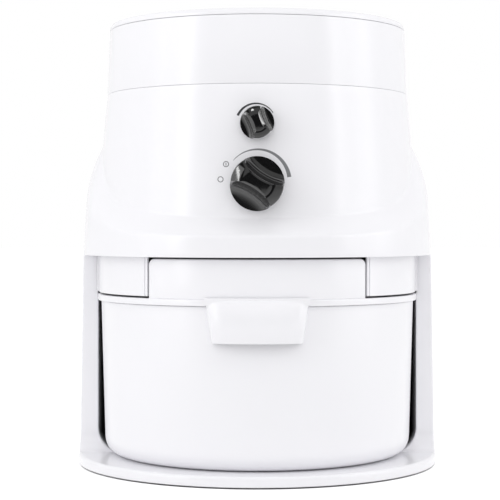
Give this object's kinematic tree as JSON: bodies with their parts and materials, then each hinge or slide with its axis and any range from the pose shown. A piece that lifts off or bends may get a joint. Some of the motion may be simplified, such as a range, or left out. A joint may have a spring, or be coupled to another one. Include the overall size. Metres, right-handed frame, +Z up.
{
  "type": "electric grain mill",
  "caption": "Electric grain mill: round white housing on a columned base, lift-off hopper lid, slide-out flour canister, and feed and speed knobs on the front.",
  "frame": {"origin": "on the ground under the middle of the round base", "axes": "+Z up, the knobs and the canister's handle face -Y, +X to the right seen from the front"},
  "size_m": [0.2908, 0.302, 0.3556],
  "materials": {
    "white_plastic": "glossy white moulding",
    "dark_plastic": "satin charcoal moulding",
    "black_gloss": "glossy black",
    "black_rubber": "matt rubber",
    "zinc_steel": "bright zinc",
    "stainless": "machined stainless",
    "cast_alloy": "die cast",
    "lamination": "stacked laminations",
    "copper": "enamelled copper",
    "brass": "turned brass",
    "brown_resin": "moulded resin",
    "carbon": "pressed carbon",
    "board_green": "printed circuit board with parts",
    "foam": "open-cell foam"
  },
  "bodies": {
    "mill": {"base_frame": "white_plastic", "rubber_feet": "black_rubber", "bay_liner": "dark_plastic", "frame_screws": "zinc_steel", "chassis": "white_plastic", "upper_housing": "white_plastic", "hopper": "white_plastic", "feed_box": "dark_plastic", "feed_bushing": "brass", "rotary_switch": "dark_plastic", "speed_control": "dark_plastic", "speed_nut": "zinc_steel", "mill_cover": "dark_plastic", "mill_chamber": "dark_plastic", "mill_gasket": "black_rubber", "stationary_head": "stainless", "chamber_screws": "zinc_steel", "flour_duct": "dark_plastic", "outlet_seal": "black_rubber", "motor_front_bracket": "cast_alloy", "motor_rear_bracket": "cast_alloy", "motor_screws": "zinc_steel", "stator_core": "lamination", "field_coils": "copper", "brush_holders": "brown_resin", "carbon_brushes": "carbon", "motor_bearings": "zinc_steel", "rubber_isolators": "black_rubber", "control_board": "board_green", "board_bracket": "dark_plastic", "vent_grille": "dark_plastic", "cord_gland": "black_rubber"},
    "hopper_lid": {"hopper_lid": "white_plastic"},
    "canister": {"canister": "white_plastic", "lid_gasket": "black_rubber", "canister_lid": "white_plastic", "separator_cup": "white_plastic", "foam_filter": "foam", "filter_cap": "dark_plastic"},
    "feed_control": {"feed_knob": "black_gloss", "feed_shaft": "zinc_steel", "feed_gate": "zinc_steel"},
    "speed_control": {"speed_knob": "black_gloss", "speed_shaft": "zinc_steel"},
    "rotor": {"motor_shaft": "zinc_steel", "rotor_core": "lamination", "rotor_windings": "copper", "commutator": "copper", "cooling_fan": "dark_plastic", "rotating_head": "stainless", "head_nut": "zinc_steel"}
  },
  "joints": [
    {"name": "lid_lift", "type": "slide", "parent": "mill", "child": "hopper_lid", "axis": [0, 0, 1], "range_m": [0, 0.08]},
    {"name": "canister_slide", "type": "slide", "parent": "mill", "child": "canister", "axis": [0, -1, 0], "range_m": [0, 0.3]},
    {"name": "feed_knob_turn", "type": "hinge", "parent": "mill", "child": "feed_control", "pos_m": [0, -0.14, 0.223], "axis": [0, 1, 0], "range_deg": [-25.3, 135]},
    {"name": "speed_knob_turn", "type": "hinge", "parent": "mill", "child": "speed_control", "pos_m": [0, -0.13, 0.268], "axis": [0, 1, 0], "range_deg": [-45, 92]},
    {"name": "rotor_spin", "type": "hinge", "parent": "mill", "child": "rotor", "pos_m": [0, 0, 0.223], "axis": [0, 1, 0], "continuous": true}
  ]
}
